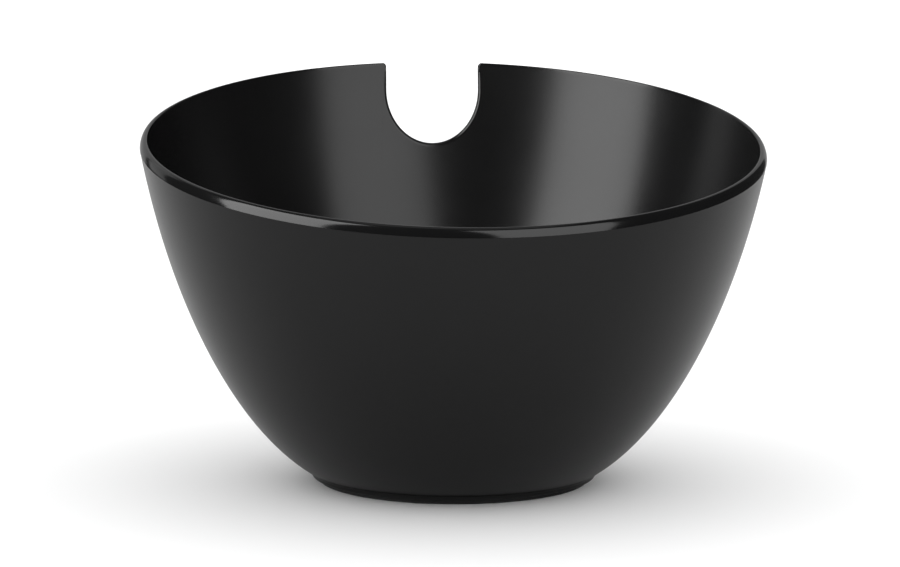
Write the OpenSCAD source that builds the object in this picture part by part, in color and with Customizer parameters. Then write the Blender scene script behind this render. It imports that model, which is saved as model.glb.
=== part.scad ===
// Serving bowl with a slanted rim, a rest slot cut into its high side and a non-slip foot ring.
// Millimetres, +Z up. Origin: centre of the foot, on the surface that the bowl stands on.
// The bowl's mirror plane is x = 0, with the high side of the rim and the rest slot at +Y.

/* [Bowl] */
// Height of the rim at the back, where it is highest
back_h = 162.6; // [136:0.1:196]
// Height of the rim at the front, where it is lowest
front_h = 111; // [92:0.1:134]
// Outside diameter of the wall's curve at its top end
mouth_d = 255.8; // [213:0.1:308]
// Angle above the horizontal at which the wall leaves the foot
base_angle = 29.3; // [20:0.1:36]
// How far the wall holds that first direction
base_pull = 35.7; // [29:0.1:43]
// Angle above the horizontal at which the wall reaches its top end
top_angle = 84.2; // [76:0.1:92]
// How far the wall holds that last direction
top_pull = 85; // [70:0.1:95]
// Thickness of the wall
wall_t = 3.4; // [2.8:0.1:4.2]
// Thickness of the floor
floor_t = 3.4; // [2.8:0.1:5]
// Diameter of the flat part of the floor inside
floor_d = 88; // [60:1:100]

/* [Lip] */
// Height of the lip's outer round, from the crease below it to the rim
lip_h = 3.7; // [2.8:0.1:5]
// How far the lip stands out from the wall at that crease
lip_out = 0.15; // [0.12:0.01:0.6]
// How far the lip stands in from the wall
lip_in = 0.1; // [0.08:0.01:0.3]
// Radius of the lip's inner edge
lip_edge_r = 0.5; // [0.4:0.1:1]
// Part of the lip's quarter round that is left out at the crease, so that it starts with an edge
lip_lead = 35; // [0:1:45]

/* [Rest slot] */
// Width of the slot
slot_w = 40.6; // [24:0.1:50]
// Depth of the slot below the rim
slot_depth = 35.6; // [29:0.1:43]
// Height of the slot's rounded lower end
slot_round_h = 23.5; // [15:0.1:27]
// Radius of the corners where the slot meets the rim
slot_corner_r = 2; // [0.6:0.1:3]

/* [Foot] */
// Outside diameter of the moulded foot
foot_d = 112.8; // [108:0.1:136]
// Height of the moulded foot, from its lower face to where the wall would meet its side
foot_h = 1.5; // [1.3:0.1:3]
// Radius of the hollow where the wall meets the side of the foot
foot_fillet_r = 1.2; // [0.5:0.1:1.6]
// Radius of the moulded foot's lower edge
foot_edge_r = 0.4; // [0.2:0.1:0.8]
// Depth of the recess in the underside, inside the foot ring
recess_h = 1; // [0.5:0.1:1.6]
// Height of the foot ring below the moulding
ring_h = 1.9; // [1.2:0.1:2.4]
// How far the foot ring's side is set back from the side of the moulded foot
ring_set_back = 2.8; // [1:0.1:5]
// Width of the foot ring
ring_w = 11.6; // [9:0.1:16]
// Radius of the foot ring's lower edges
ring_edge_r = 0.4; // [0.2:0.1:0.8]
// Thickness of the tongue that holds the foot ring in the moulding's groove
tongue_t = 2.4; // [1.6:0.1:3]
// Height of the tongue above the moulding's lower face
tongue_h = 1.6; // [1:0.1:2]
// Clearance between the tongue and the groove
tongue_gap = 0.1; // [0.05:0.01:0.2]

/* [Hidden] */

bowl_black = [0.035, 0.035, 0.037];
ring_black = [0.02, 0.02, 0.02];

curve_over = 2.4;    // height of the wall's curve above the back of the rim
curve_steps = 28;    // straight steps along the wall's curve
blend_steps = 8;     // steps along the round between floor and wall
blend_share = 0.22;  // share of the wall's curve at which that round ends
lip_steps = 96;      // sections round the lip
lip_cut = 0.75;      // share of the lip's height at which the wall ends inside the lip
round_steps = 8;     // steps along the lip's rounded top
edge_steps = 3;      // steps along a small edge round
slot_steps = 24;     // steps along half of the slot's rounded end
solve_steps = 24;    // halvings or passes that solve for a point on the wall
smooth_fn = 96;
reach = 2 * mouth_d; // larger than the bowl, for cutting solids

// ---- The wall's outer curve: one cubic curve from the foot to above the rim ----

foot_top_z = ring_h + foot_h;
curve_start = [foot_d / 2, foot_top_z];
curve_end = [mouth_d / 2, back_h + curve_over];
curve_points = [
    curve_start,
    curve_start + base_pull * [cos(base_angle), sin(base_angle)],
    curve_end - top_pull * [cos(top_angle), sin(top_angle)],
    curve_end
];

function curve_at(u) =
    pow(1 - u, 3) * curve_points[0] + 3 * pow(1 - u, 2) * u * curve_points[1]
    + 3 * (1 - u) * u * u * curve_points[2] + pow(u, 3) * curve_points[3];

function curve_direction(u) =
    let (d = pow(1 - u, 2) * (curve_points[1] - curve_points[0])
           + 2 * (1 - u) * u * (curve_points[2] - curve_points[1])
           + u * u * (curve_points[3] - curve_points[2]))
    d / norm(d);

// Point on the inner face: the outer curve moved in by the wall's thickness.
function inner_at(u) =
    let (d = curve_direction(u))
    curve_at(u) + wall_t * [-d[1], d[0]];

// Outside radius of the wall at height z, by halving the stretch of curve that holds z.
function wall_r(z, low = 0, high = 1, left = solve_steps) =
    let (mid = (low + high) / 2, p = curve_at(mid))
    left == 0 ? p[0] : p[1] < z ? wall_r(z, mid, high, left - 1) : wall_r(z, low, mid, left - 1);

// ---- The rim's plane: it slopes along Y and passes through the front and back of the rim ----

rim_slope = (back_h - front_h) / (wall_r(back_h) + wall_r(front_h));
rim_axis_h = back_h - rim_slope * wall_r(back_h);

function rim_plane_z(y) = rim_axis_h + rim_slope * y;

// Height of the rim at angle a round the bowl, where the wall meets the rim's plane.
function rim_z(a, z = rim_axis_h, left = solve_steps) =
    left == 0 ? z : rim_z(a, rim_plane_z(wall_r(z) * sin(a)), left - 1);

// ---- Outlines ----

function arc(centre, r, from, to, steps) =
    [for (i = [0:steps]) let (a = from + (to - from) * i / steps) centre + r * [cos(a), sin(a)]];

// Round between the floor and the inner face: it leaves the floor level and joins the face smoothly.
recess_z = ring_h + recess_h;
floor_z = recess_z + floor_t;
blend_end = inner_at(blend_share);
blend_way = curve_direction(blend_share);
blend_corner = [blend_end[0] - (blend_end[1] - floor_z) * blend_way[0] / blend_way[1], floor_z];
blend_start = [floor_d / 2, floor_z];

function blend_at(u) = pow(1 - u, 2) * blend_start + 2 * (1 - u) * u * blend_corner + u * u * blend_end;

// Hollow between the foot's side and the wall: an arc that touches both. Its radius is limited by
// the height of the foot's side.
fillet_turn = 90 - base_angle;
fillet_room = 0.9 * (foot_h - foot_edge_r) / tan(fillet_turn / 2);
fillet_r = min(foot_fillet_r, fillet_room);
fillet_centre = [foot_d / 2 + fillet_r, foot_top_z - fillet_r * tan(fillet_turn / 2)];

// The foot ring lies under the moulded foot, and its tongue stands on the middle of its width.
ring_r = foot_d / 2 - ring_set_back;
ring_inner_r = ring_r - ring_w;
tongue_r = ring_inner_r + ring_w / 2;

shell_outline = concat(
    [[0, recess_z], [ring_inner_r - recess_h, recess_z], [ring_inner_r, ring_h]],
    arc([foot_d / 2 - foot_edge_r, ring_h + foot_edge_r], foot_edge_r, -90, 0, edge_steps),
    arc(fillet_centre, fillet_r, 180, 180 - fillet_turn, 2 * edge_steps),
    [for (i = [1:curve_steps]) curve_at(i / curve_steps)],
    [for (i = [curve_steps:-1:0]) let (u = blend_share + (1 - blend_share) * i / curve_steps) inner_at(u)],
    [for (i = [blend_steps - 1:-1:0]) blend_at(i / blend_steps)],
    [[0, floor_z]]
);

// Section of the lip, as [distance out from the wall, height above the rim's plane]: a step out of
// the wall, a wide outer round that rises to the rim, and a small round on the inner edge.
lip_step = 2 * lip_out;
lip_edge_x = lip_edge_r - wall_t - lip_in;

function lip_round_at(a) = [
    lip_edge_x + (lip_out - lip_edge_x) * cos(a) / cos(lip_lead),
    (lip_h - lip_step) * (sin(a) - 1) / (1 - sin(lip_lead))
];

lip_outline = concat(
    [[-wall_t / 2, -lip_h], [-lip_step, -lip_h]],
    [for (i = [0:round_steps]) lip_round_at(lip_lead + (90 - lip_lead) * i / round_steps)],
    arc([lip_edge_x, -lip_edge_r], lip_edge_r, 120, 180, edge_steps - 1),
    [[-wall_t - lip_in, lip_step - lip_h]]
);

function lip_ring(a) =
    let (z = rim_z(a))
    [for (p = lip_outline) let (r = wall_r(z + p[1]) + p[0]) [r * cos(a), r * sin(a), z + p[1]]];

// ---- The bowl ----

module shell() {
    rotate_extrude($fn = smooth_fn) polygon(shell_outline);
}

// Everything above a plane that is parallel to the rim's plane and drop below it.
module above_rim(drop) {
    translate([0, 0, rim_axis_h - drop])
        rotate([atan(rim_slope), 0, 0])
            translate([-reach / 2, -reach / 2, 0])
                cube(reach);
}

module lip() {
    n = len(lip_outline);
    polyhedron(
        points = [for (i = [0:lip_steps - 1]) each lip_ring(360 * i / lip_steps)],
        faces = [for (i = [0:lip_steps - 1], j = [0:n - 1], half = [0:1])
            let (
                here = i * n, next = ((i + 1) % lip_steps) * n, k = (j + 1) % n,
                a = here + j, b = here + k, c = next + k, d = next + j
            )
            half == 0 ? [a, b, c] : [a, c, d]]
    );
}

// Side view of the slot: parallel sides, a rounded lower end and rounded corners at the rim.
slot_rim_z = rim_plane_z(sqrt(pow(wall_r(back_h), 2) - pow(slot_w / 2, 2)));
slot_round_z = back_h - slot_depth + slot_round_h;

module slot_side_view() {
    r = slot_corner_r;
    right = concat(
        [for (i = [0:slot_steps]) let (a = -90 + 90 * i / slot_steps)
            [slot_w / 2 * cos(a), slot_round_z + slot_round_h * sin(a)]],
        arc([slot_w / 2 + r, slot_rim_z - r], r, 180, 90, edge_steps),
        [[slot_w / 2 + r, back_h + curve_over]]
    );
    left = [for (i = [len(right) - 1:-1:1]) [-right[i][0], right[i][1]]];
    polygon(concat(right, left));
}

module slot() {
    rotate([90, 0, 180])
        linear_extrude(mouth_d)
            slot_side_view();
}

// The foot ring's tongue, or the groove that takes it when it is made larger by a clearance.
module tongue(extra = 0) {
    rotate_extrude($fn = smooth_fn)
        translate([tongue_r - tongue_t / 2 - extra, ring_h - ring_edge_r])
            square([tongue_t + 2 * extra, ring_edge_r + tongue_h + extra]);
}

module bowl() {
    color(bowl_black)
        difference() {
            union() {
                difference() {
                    shell();
                    above_rim(lip_cut * lip_h);
                }
                lip();
            }
            slot();
            tongue(tongue_gap);
        }
}

// ---- The foot ring ----

module foot_ring() {
    e = ring_edge_r;
    outline = concat(
        arc([ring_r - e, e], e, -90, 0, edge_steps),
        [[ring_r, ring_h], [ring_inner_r, ring_h]],
        arc([ring_inner_r + e, e], e, 180, 270, edge_steps)
    );
    color(ring_black)
        union() {
            rotate_extrude($fn = smooth_fn) polygon(outline);
            tongue();
        }
}

bowl();
foot_ring();
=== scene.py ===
# %% [markdown]
# # A serving bowl with a slanted rim
#
# The object is one deep bowl moulded in satin black plastic. Its rim is high at the back and low
# at the front, and a U-shaped slot in the high side lets a serving spoon rest there. Under the
# moulding a darker non-slip ring carries the bowl. Nothing on it moves.
#
# The frame that is loaded here is the measured model. It stays as it is and gives every place.
# %% Load the measured model
import math

import bmesh
import bpy
from mathutils import Matrix, Vector


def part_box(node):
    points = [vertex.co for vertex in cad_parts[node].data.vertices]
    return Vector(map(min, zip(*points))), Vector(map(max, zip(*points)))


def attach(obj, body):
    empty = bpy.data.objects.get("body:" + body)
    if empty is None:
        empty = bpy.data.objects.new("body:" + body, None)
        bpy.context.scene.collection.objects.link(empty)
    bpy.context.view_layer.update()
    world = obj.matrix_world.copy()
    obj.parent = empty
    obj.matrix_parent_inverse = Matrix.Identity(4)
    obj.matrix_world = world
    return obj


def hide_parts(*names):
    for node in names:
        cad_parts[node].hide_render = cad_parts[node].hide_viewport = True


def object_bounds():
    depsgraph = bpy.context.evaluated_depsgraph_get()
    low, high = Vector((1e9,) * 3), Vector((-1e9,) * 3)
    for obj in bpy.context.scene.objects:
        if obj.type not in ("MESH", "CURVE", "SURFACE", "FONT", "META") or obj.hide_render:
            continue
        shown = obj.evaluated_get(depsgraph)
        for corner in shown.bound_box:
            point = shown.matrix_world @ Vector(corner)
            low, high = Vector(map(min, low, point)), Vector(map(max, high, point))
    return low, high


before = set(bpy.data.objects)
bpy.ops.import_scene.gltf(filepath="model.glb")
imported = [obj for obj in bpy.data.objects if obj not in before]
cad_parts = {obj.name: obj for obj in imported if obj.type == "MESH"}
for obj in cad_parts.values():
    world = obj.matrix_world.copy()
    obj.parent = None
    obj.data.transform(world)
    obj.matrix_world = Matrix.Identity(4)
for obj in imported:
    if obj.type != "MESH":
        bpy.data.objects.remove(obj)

MM = 0.001
measured_low, measured_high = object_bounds()
bowl_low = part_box("bowl")[0]
ring_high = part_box("foot_ring")[1]
print("measured box, mm:", [round(side / MM, 1) for side in measured_high - measured_low])

# %% [markdown]
# ## Where the camera stands
#
# A product picture of a bowl is usually taken from a little above the rim, so that both the wall
# and part of the inside show, and with a long lens, so that the round shape isn't stretched. The
# camera stands one metre from the middle of the foot, slightly left of the slot's centre line.
# %% Put the camera in place
camera_distance = 1.0
camera_side_angle = math.radians(4.664)
camera_height_angle = math.radians(10.953)
camera_turn = math.radians(4.568)
camera_tilt = math.radians(6.501)
camera_roll = math.radians(0.162)
camera_lens = 99.68

camera_data = bpy.data.cameras.new("studio_camera")
camera_data.lens = camera_lens
camera_data.clip_start = 0.05
camera = bpy.data.objects.new("studio_camera", camera_data)
bpy.context.scene.collection.objects.link(camera)
place = camera_distance * Vector((
    -math.sin(camera_side_angle) * math.cos(camera_height_angle),
    -math.cos(camera_side_angle) * math.cos(camera_height_angle),
    math.sin(camera_height_angle),
))
camera.matrix_world = (
    Matrix.Translation(place)
    @ Matrix.Rotation(-camera_turn, 4, "Z")
    @ Matrix.Rotation(math.pi / 2 - camera_tilt, 4, "X")
    @ Matrix.Rotation(camera_roll, 4, "Z")
)
bpy.context.scene.camera = camera
print("camera at, m:", [round(side, 3) for side in place])

# %% [markdown]
# ## Sums written as nodes
#
# Geometry Nodes can work out a shape from a formula, but a formula drawn as boxes is hard to
# read. The small class below turns ordinary Python sums into Math nodes, so that the bowl's
# formulas can be written as they would be on paper and the tree still holds every step.
# %% A number that the nodes work out at each point
class Field:
    """One value of a node tree. Sums of fields add Math nodes to the tree."""

    def __init__(self, writer, socket):
        self.writer = writer
        self.socket = socket

    def __add__(self, other):
        return self.writer.math("ADD", self, other)

    def __radd__(self, other):
        return self.writer.math("ADD", other, self)

    def __sub__(self, other):
        return self.writer.math("SUBTRACT", self, other)

    def __rsub__(self, other):
        return self.writer.math("SUBTRACT", other, self)

    def __mul__(self, other):
        return self.writer.math("MULTIPLY", self, other)

    def __rmul__(self, other):
        return self.writer.math("MULTIPLY", other, self)

    def __truediv__(self, other):
        return self.writer.math("DIVIDE", self, other)

    def __rtruediv__(self, other):
        return self.writer.math("DIVIDE", other, self)

    def __neg__(self):
        return self.writer.math("MULTIPLY", self, -1.0)

    def __gt__(self, other):
        return self.writer.math("GREATER_THAN", self, other)


def sin(angle):
    return angle.writer.math("SINE", angle)


def cos(angle):
    return angle.writer.math("COSINE", angle)


def tan(angle):
    return angle.writer.math("TANGENT", angle)


def arcsin(share):
    return share.writer.math("ARCSINE", share)


def root(value):
    return value.writer.math("SQRT", value)


def mix(start, end, share):
    return start + (end - start) * share


print("sums can be written as nodes")

# %% [markdown]
# The writer below holds one tree. It gives the tree its named inputs, adds nodes and links what
# they need, whether that is a number, another node's output or a sum of fields.
# %% A writer that builds one tree
class TreeWriter:
    """Makes a Geometry Nodes tree with named inputs, and adds nodes to it."""

    def __init__(self, name):
        self.tree = bpy.data.node_groups.new(name, "GeometryNodeTree")
        self.tree.interface.new_socket("Geometry", in_out="OUTPUT", socket_type="NodeSocketGeometry")
        self.inputs = self.tree.nodes.new("NodeGroupInput")

    def size(self, name, value):
        """A named input of the tree, with its value, in metres or radians."""
        socket = self.tree.interface.new_socket(name, in_out="INPUT", socket_type="NodeSocketFloat")
        socket.default_value = value
        return Field(self, self.inputs.outputs[name])

    def material(self, name):
        """A named input of the tree for a material."""
        self.tree.interface.new_socket(name, in_out="INPUT", socket_type="NodeSocketMaterial")
        return self.inputs.outputs[name]

    def node(self, kind, **settings):
        """A new node of the tree, with its settings."""
        made = self.tree.nodes.new(kind)
        for key, value in settings.items():
            setattr(made, key, value)
        return made

    def feed(self, socket, value):
        """Links a field or an output to a socket, or sets a plain value on it."""
        if isinstance(value, Field):
            value = value.socket
        if isinstance(value, bpy.types.NodeSocket):
            self.tree.links.new(value, socket)
        else:
            socket.default_value = value

    def math(self, operation, *terms):
        """One Math node, fed with its terms."""
        made = self.node("ShaderNodeMath", operation=operation)
        for socket, term in zip(made.inputs, terms):
            self.feed(socket, term)
        return Field(self, made.outputs[0])

    def share(self, value):
        """The value, kept between 0 and 1."""
        made = self.node("ShaderNodeClamp")
        self.feed(made.inputs["Value"], value)
        return Field(self, made.outputs[0])

    def number(self, value):
        """A plain number, as a field that sums can start from."""
        made = self.node("ShaderNodeValue")
        made.outputs[0].default_value = value
        return Field(self, made.outputs[0])

    def pick(self, test, if_not, if_so):
        """One of two values, by a test made at each point."""
        made = self.node("GeometryNodeSwitch", input_type="FLOAT")
        self.feed(made.inputs["Switch"], test)
        self.feed(made.inputs["False"], if_not)
        self.feed(made.inputs["True"], if_so)
        return Field(self, made.outputs[0])


print("node writer ready")

# %% [markdown]
# ## Patches on a grid
#
# Every surface of the bowl is a flat grid of points that a formula moves into place. `across`
# runs from 0 to 1 round half of the bowl, and `along` from 0 to 1 down one stretch of its
# section. Half of the bowl is enough, because the other half is its mirror image.
# %% Make one patch
def patch(writer, columns, rows, place_of, marks=()):
    """A grid of columns by rows points, moved to place_of(column, along)."""
    grid = writer.node("GeometryNodeMeshGrid")
    sizes = {"Size X": 1.0, "Size Y": 1.0, "Vertices X": columns, "Vertices Y": rows}
    for name, value in sizes.items():
        writer.feed(grid.inputs[name], value)
    where = writer.node("GeometryNodeInputPosition")
    split = writer.node("ShaderNodeSeparateXYZ")
    writer.feed(split.inputs[0], where.outputs[0])
    across = Field(writer, split.outputs["X"]) + 0.5
    along = Field(writer, split.outputs["Y"]) + 0.5
    joined = writer.node("ShaderNodeCombineXYZ")
    for socket, value in zip(joined.inputs, place_of(across, along)):
        writer.feed(socket, value)
    shape = grid.outputs["Mesh"]
    for name, value in marks:
        store = writer.node("GeometryNodeStoreNamedAttribute", data_type="FLOAT", domain="POINT")
        writer.feed(store.inputs["Geometry"], shape)
        writer.feed(store.inputs["Name"], name)
        writer.feed(store.inputs["Value"], value)
        shape = store.outputs["Geometry"]
    moved = writer.node("GeometryNodeSetPosition")
    writer.feed(moved.inputs["Geometry"], shape)
    writer.feed(moved.inputs["Position"], joined.outputs[0])
    return moved.outputs["Geometry"]


print("patches ready")

# %% [markdown]
# The patches only touch, so they are joined with their mirror image and welded along the seams.
# The finished piece is kept as a plain mesh. It has to be closed all round, as a real moulding
# is, so its open edges are counted.
# %% Finish a tree and turn its result into a plain mesh
WELD = 0.002 * MM
CREASE_ANGLE = math.radians(35)


def close_tree(writer, patches, material):
    """Joins the patches with their mirror image, welds them and gives them a material."""
    half = writer.node("GeometryNodeJoinGeometry")
    for made in reversed(patches):
        writer.tree.links.new(made, half.inputs[0])
    mirrored = writer.node("GeometryNodeTransform")
    writer.feed(mirrored.inputs["Geometry"], half.outputs[0])
    writer.feed(mirrored.inputs["Scale"], (-1.0, 1.0, 1.0))
    turned = writer.node("GeometryNodeFlipFaces")
    writer.feed(turned.inputs[0], mirrored.outputs[0])
    whole = writer.node("GeometryNodeJoinGeometry")
    writer.tree.links.new(turned.outputs[0], whole.inputs[0])
    writer.tree.links.new(half.outputs[0], whole.inputs[0])
    welded = writer.node("GeometryNodeMergeByDistance")
    writer.feed(welded.inputs["Geometry"], whole.outputs[0])
    writer.feed(welded.inputs["Distance"], WELD)
    smooth = writer.node("GeometryNodeSetShadeSmooth")
    writer.feed(smooth.inputs["Geometry"], welded.outputs[0])
    real = writer.node("GeometryNodeRealizeInstances")
    writer.feed(real.inputs[0], smooth.outputs[0])
    finished = writer.node("GeometryNodeSetMaterial")
    writer.feed(finished.inputs["Geometry"], real.outputs[0])
    writer.feed(finished.inputs["Material"], material)
    result = writer.node("NodeGroupOutput")
    writer.feed(result.inputs[0], finished.outputs[0])


def plain_mesh(writer, name, material):
    """Runs the tree once and keeps its result as an ordinary mesh piece."""
    holder = bpy.data.objects.new(name + "_tree", bpy.data.meshes.new(name + "_tree"))
    bpy.context.scene.collection.objects.link(holder)
    modifier = holder.modifiers.new("shape", "NODES")
    modifier.node_group = writer.tree
    for item in writer.tree.interface.items_tree:
        if item.in_out == "INPUT" and item.socket_type == "NodeSocketMaterial":
            modifier[item.identifier] = material
        elif item.in_out == "INPUT":
            modifier[item.identifier] = item.default_value
    graph = bpy.context.evaluated_depsgraph_get()
    mesh = bpy.data.meshes.new_from_object(holder.evaluated_get(graph), depsgraph=graph)
    holder.modifiers.remove(modifier)
    bpy.data.objects.remove(holder)
    work = bmesh.new()
    work.from_mesh(mesh)
    bmesh.ops.recalc_face_normals(work, faces=work.faces)
    open_edges = sum(1 for edge in work.edges if not edge.is_manifold)
    work.to_mesh(mesh)
    work.free()
    mesh.name = name
    mesh.set_sharp_from_angle(angle=CREASE_ANGLE)
    piece = bpy.data.objects.new(name, mesh)
    bpy.context.scene.collection.objects.link(piece)
    print(name, "faces:", len(mesh.polygons), "open edges:", open_edges)
    return piece


# %% [markdown]
# ## The bowl's sizes
#
# The wall is one smooth curve turned about the upright axis. It leaves the foot at a shallow
# angle and ends almost upright, so two end points, two directions and two pulls describe all of
# it. The same sizes made the measured model, and they are named inputs of the tree. Only the
# back is a hair lower, so that the finer mesh stays inside the measured box.
# %% Name the sizes of the bowl
bowl_tree = TreeWriter("turned_bowl")
back_h = bowl_tree.size("Height at the back", 162.56 * MM)
front_h = bowl_tree.size("Height at the front", 111 * MM)
mouth_r = bowl_tree.size("Radius of the mouth", 127.9 * MM)
curve_over = bowl_tree.size("Curve above the rim", 2.4 * MM)
base_angle = bowl_tree.size("Angle at the foot", math.radians(29.3))
base_pull = bowl_tree.size("Pull at the foot", 35.7 * MM)
top_angle = bowl_tree.size("Angle at the top", math.radians(84.2))
top_pull = bowl_tree.size("Pull at the top", 85 * MM)
wall_t = bowl_tree.size("Wall thickness", 3.4 * MM)
floor_t = bowl_tree.size("Floor thickness", 3.4 * MM)
floor_r = bowl_tree.size("Radius of the flat floor", 44 * MM)
blend_share = bowl_tree.size("Share of the curve in the floor's round", 0.22)
lip_h = bowl_tree.size("Height of the lip's round", 3.7 * MM)
lip_out = bowl_tree.size("Step out to the lip", 0.1 * MM)
lip_edge_r = bowl_tree.size("Radius of the lip's inner edge", 0.5 * MM)
lip_lead = bowl_tree.size("Part of the lip's round left out", math.radians(35))
slot_half_w = bowl_tree.size("Half width of the slot", 20.3 * MM)
slot_depth = bowl_tree.size("Depth of the slot", 35.6 * MM)
slot_round_h = bowl_tree.size("Height of the slot's round end", 23.5 * MM)
slot_corner_r = bowl_tree.size("Radius of the slot's corners", 2 * MM)
slot_edge_r = bowl_tree.size("Radius of the slot's edges", 1.2 * MM)
foot_r = bowl_tree.size("Radius of the foot", 56.4 * MM)
foot_h = bowl_tree.size("Height of the foot's side", 1.5 * MM)
foot_fillet_r = bowl_tree.size("Radius of the hollow above the foot", 1.2 * MM)
foot_edge_r = bowl_tree.size("Radius of the foot's lower edge", 0.4 * MM)
ring_h = bowl_tree.size("Height of the ring below the foot", bowl_low.z)
ring_inner_r = bowl_tree.size("Inside radius of the ring", 42 * MM)
recess_h = bowl_tree.size("Depth of the recess", 1 * MM)
groove_r = bowl_tree.size("Radius of the groove", 47.8 * MM)
groove_half_w = bowl_tree.size("Half width of the groove", 1.3 * MM)
groove_h = bowl_tree.size("Depth of the groove", 1.7 * MM)
print("the bowl's foot starts", round(bowl_low.z / MM, 2), "mm above the table")

# %% [markdown]
# ## The wall's curve
#
# A cubic curve is a sum of powers of its own parameter `u`, which runs from 0 at the foot to 1
# just above the rim. Its slope is another such sum, and a step across the slope leads from the
# outer face to the inner one. Where the curve meets a plane has no short formula, so a few
# rounds of Newton's method find it, each round being the same handful of nodes.
# %% Write the curve as sums of powers
foot_top_z = ring_h + foot_h
start = (foot_r, foot_top_z)
start_pull = (foot_r + base_pull * cos(base_angle), foot_top_z + base_pull * sin(base_angle))
end = (mouth_r, back_h + curve_over)
end_pull = (end[0] - top_pull * cos(top_angle), end[1] - top_pull * sin(top_angle))
powers = [
    (a, 3 * (b - a), 3 * (a - 2 * b + c), d - 3 * c + 3 * b - a)
    for a, b, c, d in zip(start, start_pull, end_pull, end)
]


def curve_r(u):
    return ((powers[0][3] * u + powers[0][2]) * u + powers[0][1]) * u + powers[0][0]


def curve_z(u):
    return ((powers[1][3] * u + powers[1][2]) * u + powers[1][1]) * u + powers[1][0]


def slope_r(u):
    return (3 * powers[0][3] * u + 2 * powers[0][2]) * u + powers[0][1]


def slope_z(u):
    return (3 * powers[1][3] * u + 2 * powers[1][2]) * u + powers[1][1]


def u_on_plane(height, rise=0.0, first_guess=0.85, rounds=5):
    """Where the curve meets the line z = height + rise * r."""
    u = bowl_tree.number(first_guess)
    for _ in range(rounds):
        miss = curve_z(u) - height - rise * curve_r(u)
        u = u - miss / (slope_z(u) - rise * slope_r(u))
    return u


def wall_point(turn, u, depth):
    """Place of a point at a turn from the slot's middle, depth inside the outer face."""
    run = slope_r(u)
    rise = slope_z(u)
    length = root(run * run + rise * rise)
    r = curve_r(u) - depth * rise / length
    z = curve_z(u) + depth * run / length
    return r * sin(turn), r * cos(turn), z


def same_level(u, depth):
    """Parameter of the point that is depth inside the wall at the height of u's outer point."""
    run = slope_r(u)
    rise = slope_z(u)
    return u - depth * run / (root(run * run + rise * rise) * rise)


def turned_point(turn, r, z):
    """Place of a point at a turn from the slot's middle, r from the axis and z up."""
    return r * sin(turn), r * cos(turn), z


print("nodes for the powers of the curve:", len(bowl_tree.tree.nodes))

# %% [markdown]
# ## The rim and the slot are one edge
#
# Seen from the side the rim is a straight slope, and the slot is cut through its highest point.
# A saw cut would leave raw corners, while the real edge is moulded round everywhere. So the mesh
# treats rim and slot as one line that starts at the bottom of the slot, climbs its side, turns
# its corner and runs round to the front. A second line, the crease, marks where the rounding
# begins on the outer face. The columns of the mesh lead from the foot to these lines.
# %% Count the columns and set the rim's plane
slot_columns = 30
side_columns = 7
corner_columns = 9
rim_columns = 132
columns = slot_columns + side_columns + corner_columns + rim_columns + 1

back_r = curve_r(u_on_plane(back_h))
front_r = curve_r(u_on_plane(front_h))
rim_slope = (back_h - front_h) / (back_r + front_r)
rim_axis_h = back_h - rim_slope * back_r
corner_turn = arcsin((slot_half_w + slot_corner_r) / back_r)
corner_u = u_on_plane(rim_axis_h, rim_slope * cos(corner_turn))
corner_x = curve_r(corner_u) * sin(corner_turn)
corner_z = curve_z(corner_u)
slot_side_x = corner_x - slot_corner_r
slot_round_z = back_h - slot_depth + slot_round_h
print("columns in half of the bowl:", columns)

# %% [markdown]
# Both lines are worked out at every column and kept on a plain row of points, one point a
# column. Each column also has a turn at the foot, and a share that says whether it belongs to
# the slot or to the rim. Columns lie closer together near the slot, where the shape turns more,
# and at the foot the slot's own columns fan out to a wider turn than the slot has.
# %% Draw the two lines, and store them on a row of points
line = bowl_tree.node("GeometryNodeMeshLine")
bowl_tree.feed(line.inputs["Count"], columns)
index = Field(bowl_tree, bowl_tree.node("GeometryNodeInputIndex").outputs[0])


def stretch(first, count):
    """Share of a stretch of the line that is behind a column, from 0 to 1."""
    return bowl_tree.share((index - float(first)) / float(count))


QUARTER = math.pi / 2
t_slot = stretch(0, slot_columns)
t_side = stretch(slot_columns, side_columns)
t_corner = stretch(slot_columns + side_columns, corner_columns)
t_rim = stretch(slot_columns + side_columns + corner_columns, rim_columns)
rim_pace = t_rim * (0.4 + 0.6 * t_rim)
on_rim = t_rim > 0.0
rim_turn = mix(corner_turn, math.pi, rim_pace)


def slot_line(offset, top_z):
    """A line round the slot, offset out from its edge, that ends below top_z at the corner."""
    corner_r = slot_corner_r - offset
    x = (slot_side_x + offset) * sin(QUARTER * t_slot) + corner_r * (1 - cos(QUARTER * t_corner))
    z = (slot_round_z - (slot_round_h + offset) * cos(QUARTER * t_slot)
         + (top_z - corner_r - slot_round_z) * t_side + corner_r * sin(QUARTER * t_corner))
    return x, z


edge_x, edge_z = slot_line(0.0, corner_z)
edge_height = bowl_tree.pick(on_rim, edge_z, rim_axis_h)
edge_rise = bowl_tree.pick(on_rim, 0.0, rim_slope * cos(rim_turn))
edge_u = u_on_plane(edge_height, edge_rise)
edge_turn = bowl_tree.pick(on_rim, arcsin(edge_x / curve_r(edge_u)), rim_turn)

crease_x, crease_z = slot_line(slot_edge_r, corner_z - lip_h)
crease_height = bowl_tree.pick(on_rim, crease_z, curve_z(edge_u) - lip_h)
crease_u = u_on_plane(crease_height)
crease_turn = bowl_tree.pick(on_rim, arcsin(crease_x / curve_r(crease_u)), rim_turn)

foot_spread = 1.7
slot_spread = 0.72 * t_slot + 0.2 * t_side + 0.08 * t_corner
foot_corner_turn = corner_turn * foot_spread
foot_turn = bowl_tree.pick(
    on_rim, foot_corner_turn * slot_spread, mix(foot_corner_turn, math.pi, rim_pace)
)

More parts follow.
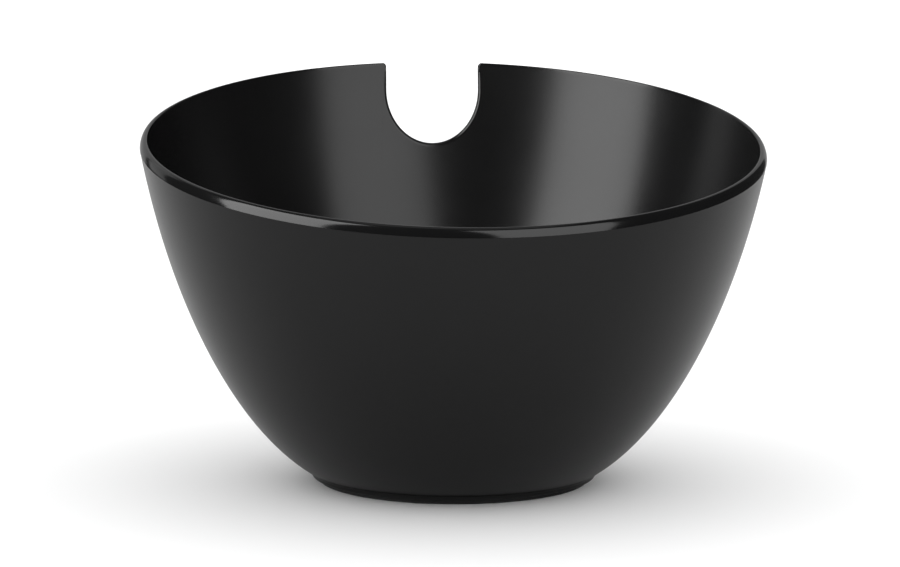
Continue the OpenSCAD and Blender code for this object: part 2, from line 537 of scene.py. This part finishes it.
row = line.outputs["Mesh"]
for name, value in (
    ("edge_turn", edge_turn), ("edge_u", edge_u), ("crease_turn", crease_turn),
    ("crease_u", crease_u), ("foot_turn", foot_turn), ("rim_share", t_corner),
):
    store = bowl_tree.node("GeometryNodeStoreNamedAttribute", data_type="FLOAT", domain="POINT")
    bowl_tree.feed(store.inputs["Geometry"], row)
    bowl_tree.feed(store.inputs["Name"], name)
    bowl_tree.feed(store.inputs["Value"], value)
    row = store.outputs["Geometry"]
print("nodes so far:", len(bowl_tree.tree.nodes))

# %% [markdown]
# A patch asks the row for its column's values by number. A patch that needs the same value in
# several sums asks only once.
# %% Read a stored value at a column
read_before = {}


def at_column(name, across):
    """A value of the row of points, at a patch's column. Each patch reads a value only once."""
    key = (name, across.socket.node.name)
    if key not in read_before:
        read_before[key] = read_row(name, across)
    return read_before[key]


def read_row(name, across):
    """Adds the nodes that fetch a stored value by its column's number."""
    stored = bowl_tree.node("GeometryNodeInputNamedAttribute", data_type="FLOAT")
    bowl_tree.feed(stored.inputs["Name"], name)
    sample = bowl_tree.node("GeometryNodeSampleIndex", data_type="FLOAT", domain="POINT")
    bowl_tree.feed(sample.inputs["Geometry"], row)
    bowl_tree.feed(sample.inputs["Value"], stored.outputs[0])
    bowl_tree.feed(sample.inputs["Index"], bowl_tree.math("ROUND", across * float(columns - 1)))
    return Field(bowl_tree, sample.outputs[0])


print("the row can be read")

# %% [markdown]
# ## The lip
#
# The lip is a wide, polished quarter round on the outside and a small round on the inside edge.
# In the slot both rounds are small and alike. Its section is drawn with two numbers: how far
# from the edge towards the crease, and how deep in the wall. Each column has its own amounts,
# so the section changes smoothly as it turns the corner into the slot.
# %% Shape the lip's four bands
# The share of the way from crease to edge in which the lip steps out.
STEP_SHARE = 0.02


def edge_point(across, from_edge, depth):
    """A point of the lip. In the slot the cut runs straight back and not towards the axis."""
    turn = mix(at_column("edge_turn", across), at_column("crease_turn", across), from_edge)
    u = mix(at_column("edge_u", across), at_column("crease_u", across), from_edge)
    straight = (1 - at_column("rim_share", across)) * depth / curve_r(u) * tan(turn)
    return wall_point(turn + straight, same_level(u, depth), depth)


def round_depths(across):
    """Depth of the outer round, and size of the inner one, at a column."""
    rim_part = at_column("rim_share", across)
    outer = mix(slot_edge_r, wall_t - lip_edge_r, rim_part)
    inner = mix(slot_edge_r, lip_edge_r, rim_part)
    return outer, inner


def inner_reach(across):
    """Share of the way from edge to crease that the inner round takes."""
    inner = round_depths(across)[1]
    return inner / mix(slot_edge_r, lip_h, at_column("rim_share", across))


def step_band(across, along):
    """The small step out at the crease."""
    rim_part = at_column("rim_share", across)
    return edge_point(across, 1 - STEP_SHARE * along, -lip_out * rim_part * along)


def outer_band(across, along):
    """The wide round from the crease up to the top."""
    rim_part = at_column("rim_share", across)
    lead = lip_lead * rim_part
    angle = mix(lead, QUARTER, along)
    step = lip_out * rim_part
    from_edge = (1 - STEP_SHARE) * (1 - sin(angle)) / (1 - sin(lead))
    outer = round_depths(across)[0]
    return edge_point(across, from_edge, (outer + step) * (1 - cos(angle) / cos(lead)) - step)


def flat_band(across, along):
    """The flat between the two rounds. On the rim they meet, and it has no width."""
    outer, inner = round_depths(across)
    return edge_point(across, 0.0, mix(outer, wall_t - inner, along))


def inner_band(across, along):
    """The small round on the inside edge."""
    inner = round_depths(across)[1]
    angle = QUARTER * along
    from_edge = inner_reach(across) * (1 - cos(angle))
    return edge_point(across, from_edge, wall_t - inner * (1 - sin(angle)))


print("bands of the lip: 4")

# %% [markdown]
# ## The two faces of the wall
#
# From the crease the outer face runs down to the hollow above the foot, and from the lip's inner
# round the inner face runs down to the floor's round. Every point lies exactly on the curve, so
# the wall stays smooth where its columns fan out below the slot. The rows are close together at
# the edge and wide apart further down.
# %% Shape the outer and inner faces
turn_left = QUARTER - base_angle
fillet_room = 0.9 * (foot_h - foot_edge_r) / tan(turn_left / 2)
fillet_r = bowl_tree.math("MINIMUM", foot_fillet_r, fillet_room)
fillet_reach = fillet_r * tan(turn_left / 2)
hollow_u = fillet_reach / (3 * base_pull)


def slow_start(along):
    """Rows that are close together at first and wide apart later."""
    return along * (0.25 + 0.75 * along)


def outer_face(across, along):
    """The outside of the wall, from the crease down to the hollow above the foot."""
    down = slow_start(along)
    turn = mix(at_column("crease_turn", across), at_column("foot_turn", across), down)
    u = mix(at_column("crease_u", across), hollow_u, down)
    return wall_point(turn, u, 0.0)


def inner_face(across, along):
    """The inside of the wall, from the lip down to the floor's round."""
    down = slow_start(along)
    reach = inner_reach(across)
    first_turn = mix(at_column("edge_turn", across), at_column("crease_turn", across), reach)
    first_u = mix(at_column("edge_u", across), at_column("crease_u", across), reach)
    straight = (1 - at_column("rim_share", across)) * wall_t / curve_r(first_u) * tan(first_turn)
    turn = mix(first_turn + straight, at_column("foot_turn", across), down)
    u = mix(same_level(first_u, wall_t), blend_share, down)
    return wall_point(turn, u, wall_t)


print("faces of the wall: 2")

# %% [markdown]
# ## Floor, foot and underside
#
# These are plain turned shapes: straight lines and arcs, one after another, from the middle of
# the recess under the bowl out to the foot, and inside from the wall to the middle of the floor.
# The list at the end names every band in turn, with its number of rows and how polished it is.
# %% Shape the turned bands
def turned_line(first, last):
    """A straight band between two places, each given as radius and height."""
    def place_of(across, along):
        turn = at_column("foot_turn", across)
        return turned_point(turn, mix(first[0], last[0], along), mix(first[1], last[1], along))
    return place_of


def turned_arc(centre, radius, first, last):
    """A rounded band about a centre, from one angle to another."""
    def place_of(across, along):
        angle = mix(first, last, along)
        turn = at_column("foot_turn", across)
        return turned_point(turn, centre[0] + radius * cos(angle), centre[1] + radius * sin(angle))
    return place_of


recess_z = ring_h + recess_h
floor_z = recess_z + floor_t
groove_top = ring_h + groove_h
run = slope_r(blend_share)
rise = slope_z(blend_share)
slope_length = root(run * run + rise * rise)
blend_end = (curve_r(blend_share) - wall_t * rise / slope_length,
             curve_z(blend_share) + wall_t * run / slope_length)
blend_corner = (blend_end[0] - (blend_end[1] - floor_z) * run / rise, floor_z)


def floor_round(across, along):
    """The round between the wall and the flat floor, as a curve with one corner to aim at."""
    back = 1 - along
    r = back * back * blend_end[0] + 2 * back * along * blend_corner[0] + along * along * floor_r
    z = back * back * blend_end[1] + 2 * back * along * blend_corner[1] + along * along * floor_z
    return turned_point(at_column("foot_turn", across), r, z)


hollow_centre = (foot_r + fillet_r, foot_top_z - fillet_reach)
hollow_end = math.pi - turn_left
hollow_gap = (curve_r(hollow_u) - hollow_centre[0] - fillet_r * cos(hollow_end),
              curve_z(hollow_u) - hollow_centre[1] - fillet_r * sin(hollow_end))


def foot_hollow(across, along):
    """The hollow's arc, eased by a hair so that it ends exactly on the wall's curve."""
    angle = mix(math.pi, hollow_end, along)
    r = hollow_centre[0] + fillet_r * cos(angle) + along * hollow_gap[0]
    z = hollow_centre[1] + fillet_r * sin(angle) + along * hollow_gap[1]
    return turned_point(at_column("foot_turn", across), r, z)


groove_in = groove_r - groove_half_w
groove_out = groove_r + groove_half_w
foot_edge_centre = (foot_r - foot_edge_r, ring_h + foot_edge_r)
bowl_bands = [
    (7, turned_line((0.0, recess_z), (ring_inner_r - recess_h, recess_z)), 0.0),
    (3, turned_line((ring_inner_r - recess_h, recess_z), (ring_inner_r, ring_h)), 0.0),
    (3, turned_line((ring_inner_r, ring_h), (groove_in, ring_h)), 0.0),
    (3, turned_line((groove_in, ring_h), (groove_in, groove_top)), 0.0),
    (3, turned_line((groove_in, groove_top), (groove_out, groove_top)), 0.0),
    (3, turned_line((groove_out, groove_top), (groove_out, ring_h)), 0.0),
    (4, turned_line((groove_out, ring_h), (foot_r - foot_edge_r, ring_h)), 0.0),
    (6, turned_arc(foot_edge_centre, foot_edge_r, -QUARTER, 0.0), 0.0),
    (3, turned_line((foot_r, ring_h + foot_edge_r), (foot_r, hollow_centre[1])), 0.0),
    (7, foot_hollow, 0.0),
    (52, outer_face, 0.0),
    (2, step_band, 1.0),
    (13, outer_band, 1.0),
    (4, flat_band, 1.0),
    (8, inner_band, 1.0),
    (46, inner_face, 0.0),
    (12, floor_round, 0.0),
    (8, turned_line((floor_r, floor_z), (0.0, floor_z)), 0.0),
]
print("bands from the recess to the floor:", len(bowl_bands))

# %% [markdown]
# ## Fine texture as one shared group
#
# Both moulded plastic and rubber have a skin that is never quite even: a very fine grain from
# the mould and broad, faint clouds in colour and gloss. One node group makes all three from the
# piece's own coordinates, and each material sets how much of each it shows.
# %% Build the texture group
def group_socket(group, name, way, kind, value=None):
    """A named input or output of a group, with its value if it has one."""
    socket = group.interface.new_socket(name, in_out=way, socket_type=kind)
    if value is not None:
        socket.default_value = value


skin = bpy.data.node_groups.new("moulded_skin", "ShaderNodeTree")
group_socket(skin, "Grain size", "INPUT", "NodeSocketFloat", 0.4 * MM)
group_socket(skin, "Cloud size", "INPUT", "NodeSocketFloat", 30 * MM)
group_socket(skin, "Dark colour", "INPUT", "NodeSocketColor", (0.01, 0.01, 0.01, 1))
group_socket(skin, "Light colour", "INPUT", "NodeSocketColor", (0.02, 0.02, 0.02, 1))
group_socket(skin, "Smoothest", "INPUT", "NodeSocketFloat", 0.3)
group_socket(skin, "Roughest", "INPUT", "NodeSocketFloat", 0.5)
group_socket(skin, "Colour", "OUTPUT", "NodeSocketColor")
group_socket(skin, "Roughness", "OUTPUT", "NodeSocketFloat")
group_socket(skin, "Grain height", "OUTPUT", "NodeSocketFloat")


def add(tree, kind, **settings):
    """A new node of a shader tree, with its settings."""
    made = tree.nodes.new(kind)
    for key, value in settings.items():
        setattr(made, key, value)
    return made


skin_in = add(skin, "NodeGroupInput")
skin_out = add(skin, "NodeGroupOutput")
coordinates = add(skin, "ShaderNodeTexCoord")


def noise_of_size(size_socket, detail, roughness):
    """Noise whose lumps are about the given size across."""
    count = add(skin, "ShaderNodeMath", operation="DIVIDE")
    count.inputs[0].default_value = 1.0
    skin.links.new(size_socket, count.inputs[1])
    noise = add(skin, "ShaderNodeTexNoise")
    noise.inputs["Detail"].default_value = detail
    noise.inputs["Roughness"].default_value = roughness
    skin.links.new(coordinates.outputs["Object"], noise.inputs["Vector"])
    skin.links.new(count.outputs[0], noise.inputs["Scale"])
    return noise.outputs["Fac"]


grain = noise_of_size(skin_in.outputs["Grain size"], 2.0, 0.5)
clouds = noise_of_size(skin_in.outputs["Cloud size"], 4.0, 0.55)
colour_mix = add(skin, "ShaderNodeMix", data_type="RGBA")
skin.links.new(clouds, colour_mix.inputs["Factor"])
skin.links.new(skin_in.outputs["Dark colour"], colour_mix.inputs["A"])
skin.links.new(skin_in.outputs["Light colour"], colour_mix.inputs["B"])
skin.links.new(colour_mix.outputs["Result"], skin_out.inputs["Colour"])
both = add(skin, "ShaderNodeMix", data_type="FLOAT")
both.inputs["Factor"].default_value = 0.35
skin.links.new(clouds, both.inputs["A"])
skin.links.new(grain, both.inputs["B"])
gloss = add(skin, "ShaderNodeMapRange")
skin.links.new(both.outputs["Result"], gloss.inputs["Value"])
gloss.inputs["From Min"].default_value = 0.3
gloss.inputs["From Max"].default_value = 0.7
skin.links.new(skin_in.outputs["Smoothest"], gloss.inputs["To Min"])
skin.links.new(skin_in.outputs["Roughest"], gloss.inputs["To Max"])
skin.links.new(gloss.outputs["Result"], skin_out.inputs["Roughness"])
skin.links.new(grain, skin_out.inputs["Grain height"])
print("shared texture group:", skin.name)

# %% [markdown]
# Both materials start in the same way: a Principled shader that takes its colour and roughness
# from the group. What is the same all over a piece is set on the shader itself.
# %% Start a material from the texture group
def skin_material(name, mirror_level, settings):
    """A material with the group feeding its colour and roughness, and its two nodes."""
    material = bpy.data.materials.new(name)
    material.use_nodes = True
    tree = material.node_tree
    shader = tree.nodes["Principled BSDF"]
    shader.inputs["Specular IOR Level"].default_value = mirror_level
    texture = add(tree, "ShaderNodeGroup", node_tree=skin)
    for socket, value in settings.items():
        texture.inputs[socket].default_value = value
    tree.links.new(texture.outputs["Colour"], shader.inputs["Base Color"])
    tree.links.new(texture.outputs["Roughness"], shader.inputs["Roughness"])
    return material, shader, texture


def add_bump(tree, shader, height, strength, distance):
    """Lets a height tilt the shader's surface."""
    bump = add(tree, "ShaderNodeBump")
    bump.inputs["Strength"].default_value = strength
    bump.inputs["Distance"].default_value = distance
    tree.links.new(height, bump.inputs["Height"])
    tree.links.new(bump.outputs["Normal"], shader.inputs["Normal"])


def grey(value):
    """A near neutral colour, with a touch more blue."""
    return (value, value, value * 1.03, 1)


print("material helpers ready")

# %% [markdown]
# ## Satin black plastic with a polished lip
#
# The wall has a satin skin that spreads a reflection into a soft band, while the lip is polished
# and shows a narrow, brighter one. The tree has marked the points of the lip, so one material
# can pass from satin to polished along that mark, and the grain dies out where it is polished.
# %% Make the bowl's material
bowl_black, shader, texture = skin_material("satin_black_plastic", 0.33, {
    "Grain size": 0.35 * MM,
    "Cloud size": 35 * MM,
    "Dark colour": grey(0.0022),
    "Light colour": grey(0.0034),
    "Smoothest": 0.22,
    "Roughest": 0.27,
})
polished_roughness = 0.12
level_height = 0.5
tree = bowl_black.node_tree
polished = add(tree, "ShaderNodeAttribute", attribute_name="polished")
finish_mix = add(tree, "ShaderNodeMix", data_type="FLOAT")
finish_mix.inputs["B"].default_value = polished_roughness
tree.links.new(polished.outputs["Fac"], finish_mix.inputs["Factor"])
tree.links.new(texture.outputs["Roughness"], finish_mix.inputs["A"])
tree.links.new(finish_mix.outputs["Result"], shader.inputs["Roughness"])
less_grain = add(tree, "ShaderNodeMix", data_type="FLOAT")
less_grain.inputs["B"].default_value = level_height
tree.links.new(polished.outputs["Fac"], less_grain.inputs["Factor"])
tree.links.new(texture.outputs["Grain height"], less_grain.inputs["A"])
add_bump(tree, shader, less_grain.outputs["Result"], 0.25, 0.012 * MM)
print("material:", bowl_black.name)

# %% [markdown]
# The real bowl comes out of its mould in one piece, so here too all bands become one closed
# mesh. It takes the place of the measured bowl and moves with the same body.
# %% Build the bowl
patches = [
    patch(bowl_tree, columns, rows, place_of, [("polished", mark)])
    for rows, place_of, mark in bowl_bands
]
close_tree(bowl_tree, patches, bowl_tree.material("Finish"))
print("nodes in the bowl's tree:", len(bowl_tree.tree.nodes))
bowl = plain_mesh(bowl_tree, "serving_bowl", bowl_black)
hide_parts("bowl")
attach(bowl, "root")

# %% [markdown]
# ## The non-slip ring
#
# A ring of matt rubber sits in a groove under the foot, set back a little from the foot's side,
# so that it reads as a thin dark line. It is a turned piece too. Its lower edges are rounded,
# and a tongue on its upper face fills the groove.
# %% Make the ring's material
ring_black, shader, texture = skin_material("matt_black_rubber", 0.25, {
    "Grain size": 0.25 * MM,
    "Cloud size": 9 * MM,
    "Dark colour": (0.006, 0.006, 0.006, 1),
    "Light colour": (0.013, 0.013, 0.013, 1),
    "Smoothest": 0.6,
    "Roughest": 0.8,
})
add_bump(ring_black.node_tree, shader, texture.outputs["Grain height"], 0.5, 0.03 * MM)
print("material:", ring_black.name)

# %% [markdown]
# The ring is turned from ten bands, starting with the face that stands on the table. It could
# be cut from tube or moulded, and is pressed into the groove by its tongue.
# %% Build the ring
ring_tree = TreeWriter("turned_ring")
ring_r = ring_tree.size("Outside radius", ring_high.x)
ring_bore_r = ring_tree.size("Inside radius", 42 * MM)
ring_top = ring_tree.size("Height", bowl_low.z)
ring_edge = ring_tree.size("Radius of the lower edges", 0.4 * MM)
tongue_r = ring_tree.size("Radius of the tongue", 47.8 * MM)
tongue_half_t = ring_tree.size("Half thickness of the tongue", 1.2 * MM)
tongue_top = ring_tree.size("Top of the tongue", ring_high.z)
ring_columns = 129


def ring_line(first, last):
    """A straight band between two places, each given as radius and height."""
    def place_of(across, along):
        r = mix(first[0], last[0], along)
        z = mix(first[1], last[1], along)
        return turned_point(math.pi * across, r, z)
    return place_of


def ring_round(centre_r, first, last):
    """A quarter round on a lower edge, from one angle to another."""
    def place_of(across, along):
        angle = mix(first, last, along)
        r = centre_r + ring_edge * cos(angle)
        z = ring_edge + ring_edge * sin(angle)
        return turned_point(math.pi * across, r, z)
    return place_of


tongue_out = tongue_r + tongue_half_t
tongue_in = tongue_r - tongue_half_t
ring_bands = [
    (4, ring_line((ring_bore_r + ring_edge, 0.0), (ring_r - ring_edge, 0.0))),
    (6, ring_round(ring_r - ring_edge, -QUARTER, 0.0)),
    (3, ring_line((ring_r, ring_edge), (ring_r, ring_top))),
    (3, ring_line((ring_r, ring_top), (tongue_out, ring_top))),
    (3, ring_line((tongue_out, ring_top), (tongue_out, tongue_top))),
    (3, ring_line((tongue_out, tongue_top), (tongue_in, tongue_top))),
    (3, ring_line((tongue_in, tongue_top), (tongue_in, ring_top))),
    (3, ring_line((tongue_in, ring_top), (ring_bore_r, ring_top))),
    (3, ring_line((ring_bore_r, ring_top), (ring_bore_r, ring_edge))),
    (6, ring_round(ring_bore_r + ring_edge, 2 * QUARTER, 3 * QUARTER)),
]
patches = [patch(ring_tree, ring_columns, rows, place_of) for rows, place_of in ring_bands]
close_tree(ring_tree, patches, ring_tree.material("Finish"))
ring = plain_mesh(ring_tree, "non_slip_ring", ring_black)
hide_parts("foot_ring")
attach(ring, "root")

# %% [markdown]
# ## Studio
#
# A plain pale floor and an even white surround. Black plastic shows almost nothing of its own
# colour: what the eye reads is the reflection of the lamps. So each lamp is a large soft panel
# that lights only the bowl, and its place decides where a soft band falls on the wall. The
# room and the floor are dimmer in the bowl's reflections than to the eye, as they would be with
# black cards around the bowl.
# %% Lay the floor
floor_side = 12.0
half_side = floor_side / 2
corners = [(x * half_side, y * half_side, 0) for x, y in ((-1, -1), (1, -1), (1, 1), (-1, 1))]
floor_mesh = bpy.data.meshes.new("studio_floor")
floor_mesh.from_pydata(corners, [], [(0, 1, 2, 3)])
studio_floor = bpy.data.objects.new("studio_floor", floor_mesh)
bpy.context.scene.collection.objects.link(studio_floor)
floor_paint = bpy.data.materials.new("pale_floor")
floor_paint.use_nodes = True
tree = floor_paint.node_tree
shader = tree.nodes["Principled BSDF"]
shader.inputs["Roughness"].default_value = 0.9
shader.inputs["Specular IOR Level"].default_value = 0.1
ray = add(tree, "ShaderNodeLightPath")
floor_tone = add(tree, "ShaderNodeMix", data_type="RGBA")
floor_tone.inputs["A"].default_value = (0.92, 0.92, 0.92, 1)
floor_tone.inputs["B"].default_value = (0.5, 0.5, 0.5, 1)
tree.links.new(ray.outputs["Is Glossy Ray"], floor_tone.inputs["Factor"])
tree.links.new(floor_tone.outputs["Result"], shader.inputs["Base Color"])
floor_mesh.materials.append(floor_paint)
print("floor, m across:", floor_side)

# %% [markdown]
# The surround is white to the eye and on the floor, and nearly dark in the bowl's reflections,
# so that only the panels draw on the black wall.
# %% Light the surround
surround = bpy.data.worlds.new("studio_surround")
bpy.context.scene.world = surround
surround.use_nodes = True
tree = surround.node_tree
dim_room = tree.nodes["Background"]
dim_room.inputs["Color"].default_value = (1, 1, 1, 1)
dim_room.inputs["Strength"].default_value = 0.04
white_backdrop = add(tree, "ShaderNodeBackground")
white_backdrop.inputs["Color"].default_value = (1, 1, 1, 1)
white_backdrop.inputs["Strength"].default_value = 1.4
ray = add(tree, "ShaderNodeLightPath")
choose = add(tree, "ShaderNodeMixShader")
tree.links.new(ray.outputs["Is Glossy Ray"], choose.inputs[0])
tree.links.new(white_backdrop.outputs[0], choose.inputs[1])
tree.links.new(dim_room.outputs[0], choose.inputs[2])
tree.links.new(choose.outputs[0], tree.nodes["World Output"].inputs["Surface"])
bpy.context.scene.view_settings.view_transform = "Standard"
print("surround:", surround.name)

# %% [markdown]
# Two tall panels in front of the bowl make the two soft bands on the inside of its far wall. A
# wide one behind it lights the top of the lip, one above lights the floor inside, and a narrow
# one aside makes the faint band at the right.
# %% Hang the soft panels
lit_by_panels = bpy.data.collections.new("lit_by_panels")
for piece in (bowl, ring):
    lit_by_panels.objects.link(piece)
middle = (measured_low + measured_high) / 2


def soft_panel(name, turn, distance, height, size, brightness):
    """A panel at a turn from the front, in degrees towards +X, facing the bowl."""
    width, tall = size
    lamp = bpy.data.lights.new(name, "AREA")
    lamp.shape = "RECTANGLE"
    lamp.size = width
    lamp.size_y = tall
    lamp.energy = brightness * math.pi * width * tall
    panel = bpy.data.objects.new(name, lamp)
    bpy.context.scene.collection.objects.link(panel)
    angle = math.radians(turn)
    place = Vector((distance * math.sin(angle), -distance * math.cos(angle), height))
    facing = (middle - place).to_track_quat("-Z", "Y").to_matrix().to_4x4()
    panel.matrix_world = Matrix.Translation(place) @ facing
    panel.visible_camera = False
    panel.light_linking.receiver_collection = lit_by_panels


soft_panel("panel_left", -68, 1.2, 0.75, (1.05, 1.4), 5.6)
soft_panel("panel_right", 30, 1.3, 0.75, (1.1, 1.4), 2.85)
soft_panel("panel_behind", 180, 1.6, 0.8, (2.4, 2.4), 0.4)
soft_panel("panel_above", 0, 0.01, 1.9, (1.2, 1.2), 0.45)
soft_panel("panel_aside", -132, 1.4, 0.6, (0.4, 0.9), 0.5)
print("panels hung:", len(bpy.data.lights))
